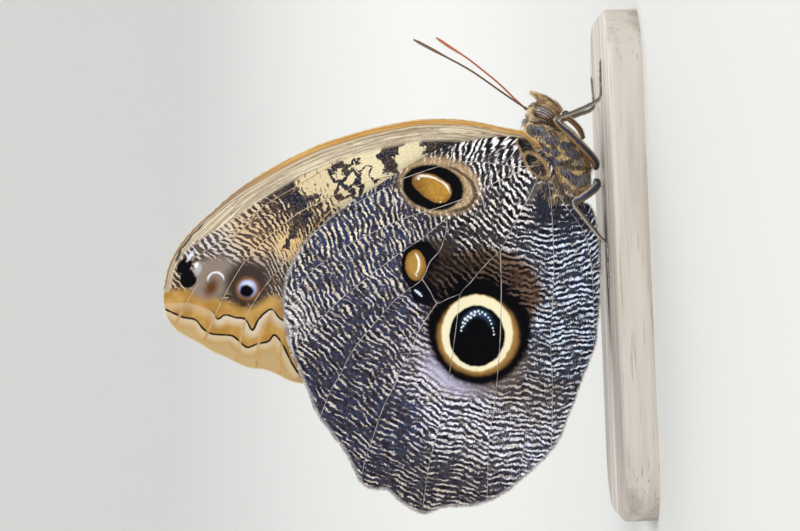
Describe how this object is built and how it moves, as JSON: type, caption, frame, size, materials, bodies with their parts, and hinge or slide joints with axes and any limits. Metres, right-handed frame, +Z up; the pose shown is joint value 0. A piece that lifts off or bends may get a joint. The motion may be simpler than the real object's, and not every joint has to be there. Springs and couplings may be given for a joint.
{
  "type": "owl butterfly model",
  "caption": "Still, life-size owl butterfly at rest with its wings closed over its back, ringed eyespots on the undersides, standing on a plain flat base.",
  "frame": {"origin": "centre of the stand's underside, which is also the middle of the bounding box's bottom", "axes": "+X the way the head points, +Y the butterfly's left, +Z up; the closed wings stand in the XZ plane"},
  "size_m": [0.091, 0.046, 0.0868],
  "materials": {
    "wing_scales": "Overlapping matt wing scales: dark navy and brown ripples over cream and tan, with ringed eyespots.",
    "body_hair": "Ochre and slate hair-scales lying flat along the body.",
    "eye": "Smooth, glossy, finely faceted compound eye with pale and dark bands.",
    "antenna": "Thin ringed feeler, rust red, a little glossy.",
    "leg": "Grey-brown scaled leg with short spines.",
    "stand_wood": "Pale fine-grained wood, satin finish."
  },
  "bodies": {
    "root": {"abdomen": "body_hair", "antenna_left": "antenna", "antenna_right": "antenna", "eye_left": "eye", "eye_right": "eye", "foreleg_left": "leg", "foreleg_right": "leg", "forewing_left": "wing_scales", "forewing_right": "wing_scales", "head": "body_hair", "hindleg_left": "leg", "hindleg_right": "leg", "hindwing_left": "wing_scales", "hindwing_right": "wing_scales", "midleg_left": "leg", "midleg_right": "leg", "palp_left": "body_hair", "palp_right": "body_hair", "proboscis": "leg", "stand_base": "stand_wood", "thorax": "body_hair"}
  },
  "joints": []
}
